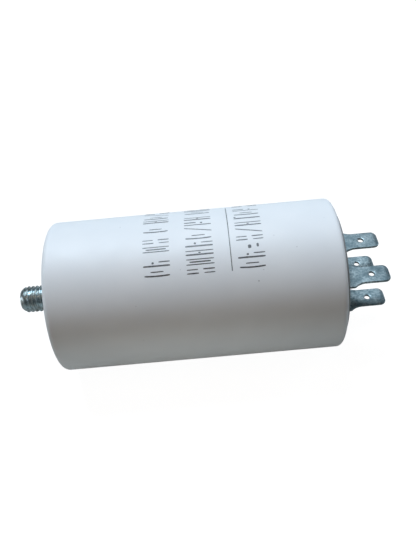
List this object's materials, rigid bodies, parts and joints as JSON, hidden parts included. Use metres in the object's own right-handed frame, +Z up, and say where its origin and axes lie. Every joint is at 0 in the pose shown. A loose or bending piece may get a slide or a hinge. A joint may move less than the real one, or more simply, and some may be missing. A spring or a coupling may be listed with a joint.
{
  "type": "motor run capacitor",
  "caption": "Round moulded can lying along its axis, with a threaded mounting stud at the base and folded push-on tab terminals riveted to a raised cover at the other end.",
  "frame": {"origin": "on the can's axis at its base face, where the mounting stud comes out", "axes": "+X along the can's axis towards the terminals, +Z up, the tab blades' faces level; the rear twin tab is on the +Y side"},
  "size_m": [0.1098, 0.045, 0.045],
  "materials": {
    "can_plastic": "satin",
    "zinc_plated_steel": "zinc plated",
    "cover_plastic": "satin",
    "tinned_sheet": "tin plated",
    "rivet_metal": "tin plated",
    "lug_metal": "tin plated",
    "solder": "bright",
    "tinned_wire": "tin plated",
    "sleeve_plastic": "gloss",
    "sprayed_zinc": "sprayed",
    "core_plastic": "moulded",
    "metallised_film": "wound film",
    "wrap_film": "wound film",
    "insulator_plastic": "moulded",
    "resin": "cast",
    "print_ink": "stamped"
  },
  "bodies": {
    "root": {"case": "can_plastic", "mounting_stud": "zinc_plated_steel", "terminal_cover": "cover_plastic", "rear_twin_tab": "tinned_sheet", "front_twin_tab": "tinned_sheet", "rear_rivet": "rivet_metal", "front_rivet": "rivet_metal", "rear_lug": "lug_metal", "front_lug": "lug_metal", "rear_lug_solder": "solder", "front_lug_solder": "solder", "short_lead": "tinned_wire", "long_lead": "tinned_wire", "short_sleeve": "sleeve_plastic", "long_sleeve": "sleeve_plastic", "top_end_solder": "solder", "base_end_solder": "solder", "top_end_spray": "sprayed_zinc", "base_end_spray": "sprayed_zinc", "core_tube": "core_plastic", "film_winding": "metallised_film", "outer_wrap": "wrap_film", "base_insulator": "insulator_plastic", "potting_resin": "resin"}
  },
  "joints": []
}
